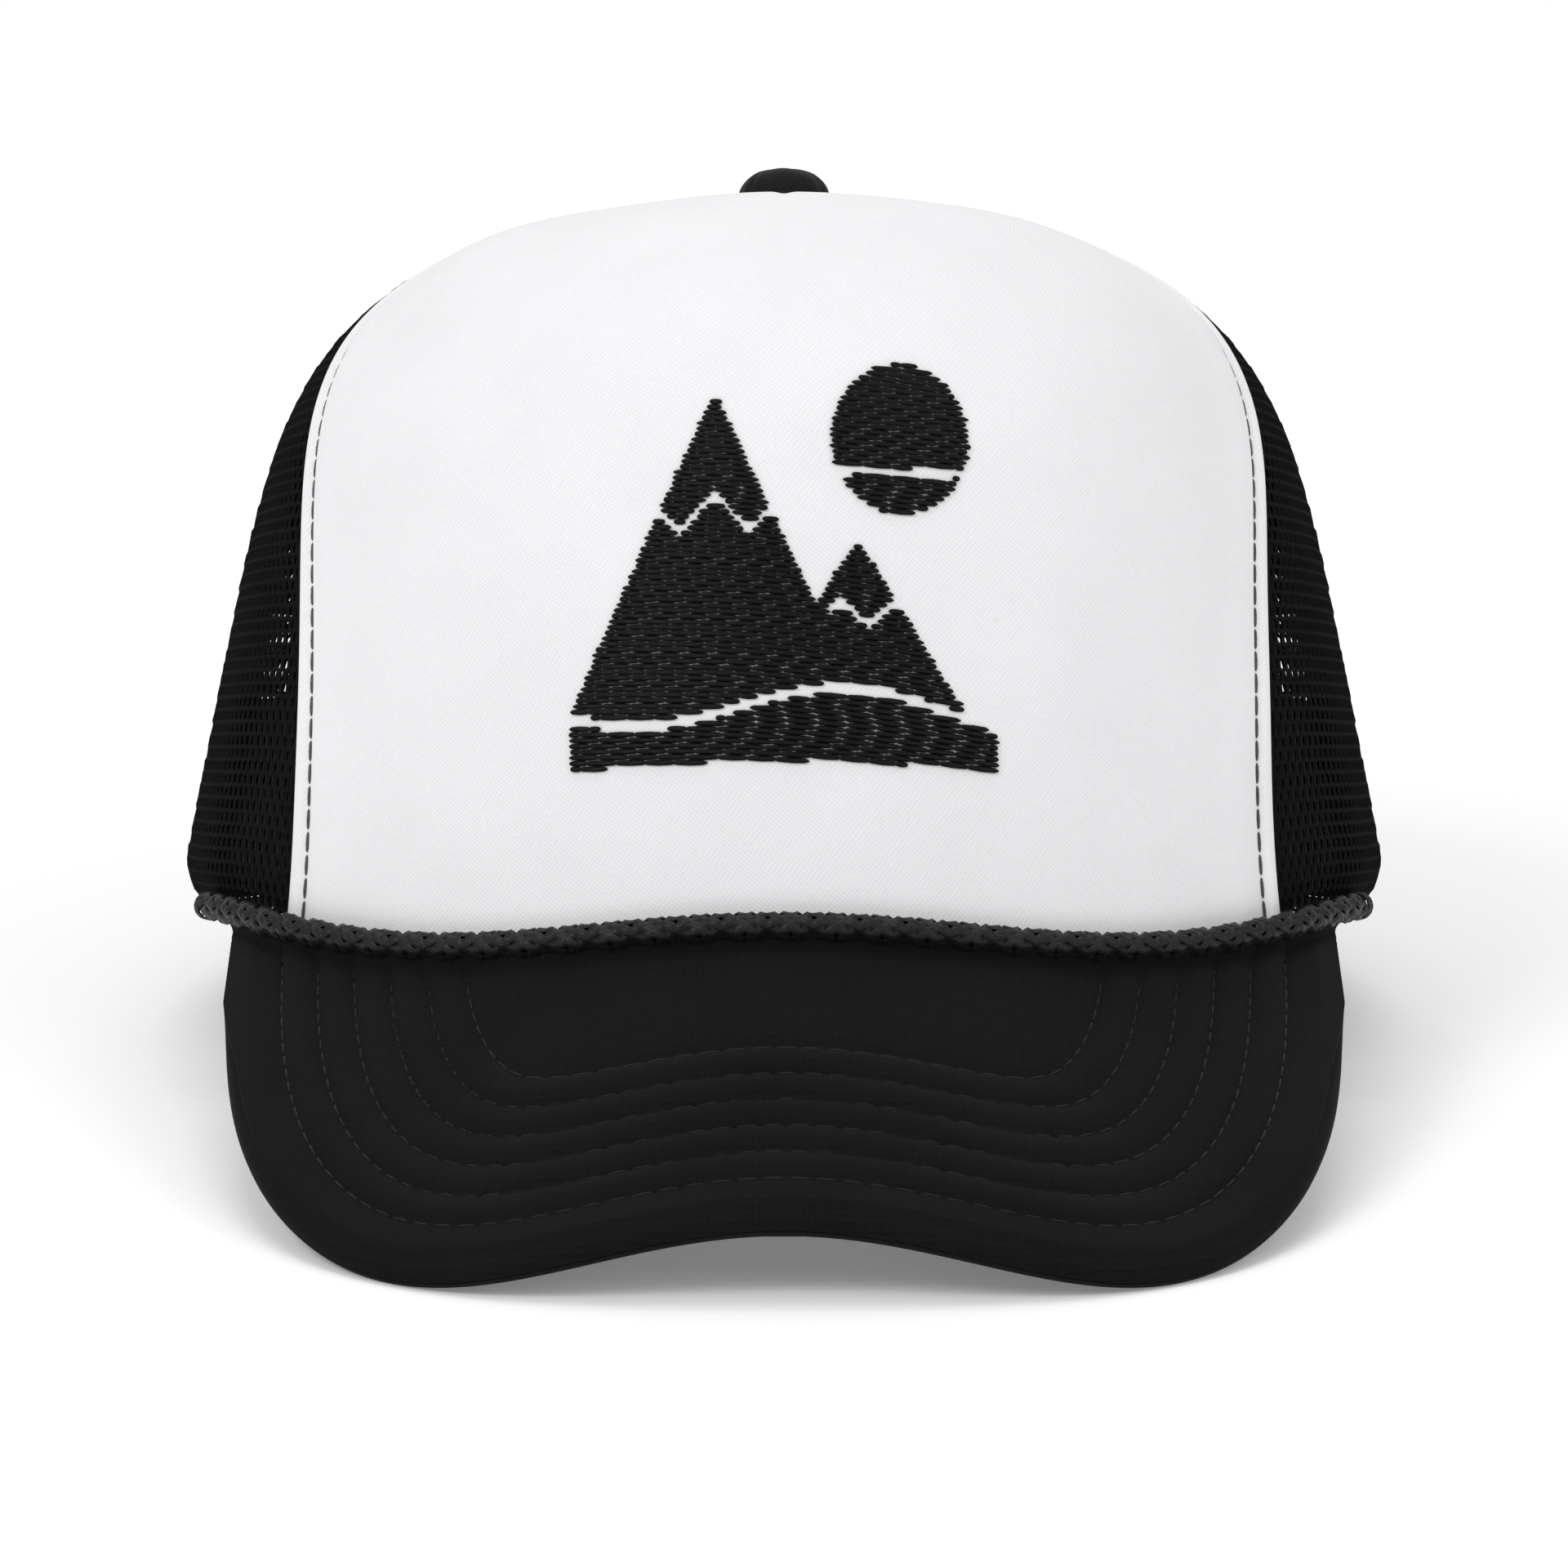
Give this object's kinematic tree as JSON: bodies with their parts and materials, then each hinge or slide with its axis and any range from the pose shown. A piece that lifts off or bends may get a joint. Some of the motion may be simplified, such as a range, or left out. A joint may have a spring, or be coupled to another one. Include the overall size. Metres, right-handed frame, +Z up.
{
  "type": "mesh-back cap",
  "caption": "Cap with a padded front panel, mesh sides and back, a stiff curved brim with a braided cord, a cloth button on top and a snap closure behind.",
  "frame": {"origin": "on the surface that the cap stands on, under the middle of its box", "axes": "+Z up, -Y the way the brim points, +X to the right of someone who faces the front of the cap from -Y"},
  "size_m": [0.1816, 0.2438, 0.1299],
  "materials": {
    "front_cloth": "fine white brushed knit",
    "foam": "open polyurethane foam",
    "mesh": "black knitted net",
    "tape": "black woven tape",
    "sweatband_cloth": "black brushed twill",
    "stitch_thread": "dark grey sewing thread",
    "emblem_thread": "black satin embroidery thread",
    "button_cloth": "black woven cloth drawn over a cap",
    "metal": "zinc plated",
    "brim_cloth": "black brushed knit",
    "board": "stiff polyethylene board",
    "brim_thread": "black sewing thread",
    "cord": "black braided polyester cord",
    "strap": "black moulded polypropylene"
  },
  "bodies": {
    "cap": {"front_panel": "front_cloth", "front_foam": "foam", "side_mesh_left": "mesh", "side_mesh_right": "mesh", "rear_mesh_left": "mesh", "rear_mesh_right": "mesh", "front_seam_tape_left": "tape", "front_seam_tape_right": "tape", "side_seam_tape_left": "tape", "side_seam_tape_right": "tape", "back_seam_tape": "tape", "crown_hem": "tape", "sweatband": "sweatband_cloth", "rear_opening_binding": "tape", "front_topstitch_left": "stitch_thread", "front_topstitch_right": "stitch_thread", "front_emblem": "emblem_thread", "button_cover": "button_cloth", "button_cap": "metal", "button_rivet": "metal", "button_washer": "metal", "brim_top_cover": "brim_cloth", "brim_board": "board", "brim_bottom_cover": "brim_cloth", "brim_stitching": "brim_thread", "brim_cord": "cord", "cord_tack_left": "brim_thread", "cord_tack_right": "brim_thread", "snap_hole_tab": "strap", "snap_peg_tab": "strap"},
    "hole_strap": {"snap_hole_strap": "strap"},
    "peg_strap": {"snap_peg_strap": "strap"}
  },
  "joints": [
    {"name": "hole_strap_bend", "type": "hinge", "parent": "cap", "child": "hole_strap", "pos_m": [0.02816, 0.11218, 0.01497], "axis": [0, -0.194, -0.981], "range_deg": [0, 70], "stiffness_Nm_per_rad": 0.01},
    {"name": "peg_strap_bend", "type": "hinge", "parent": "cap", "child": "peg_strap", "pos_m": [-0.02768, 0.11084, 0.01524], "axis": [0, -0.194, -0.981], "range_deg": [0, 35], "stiffness_Nm_per_rad": 0.01}
  ]
}
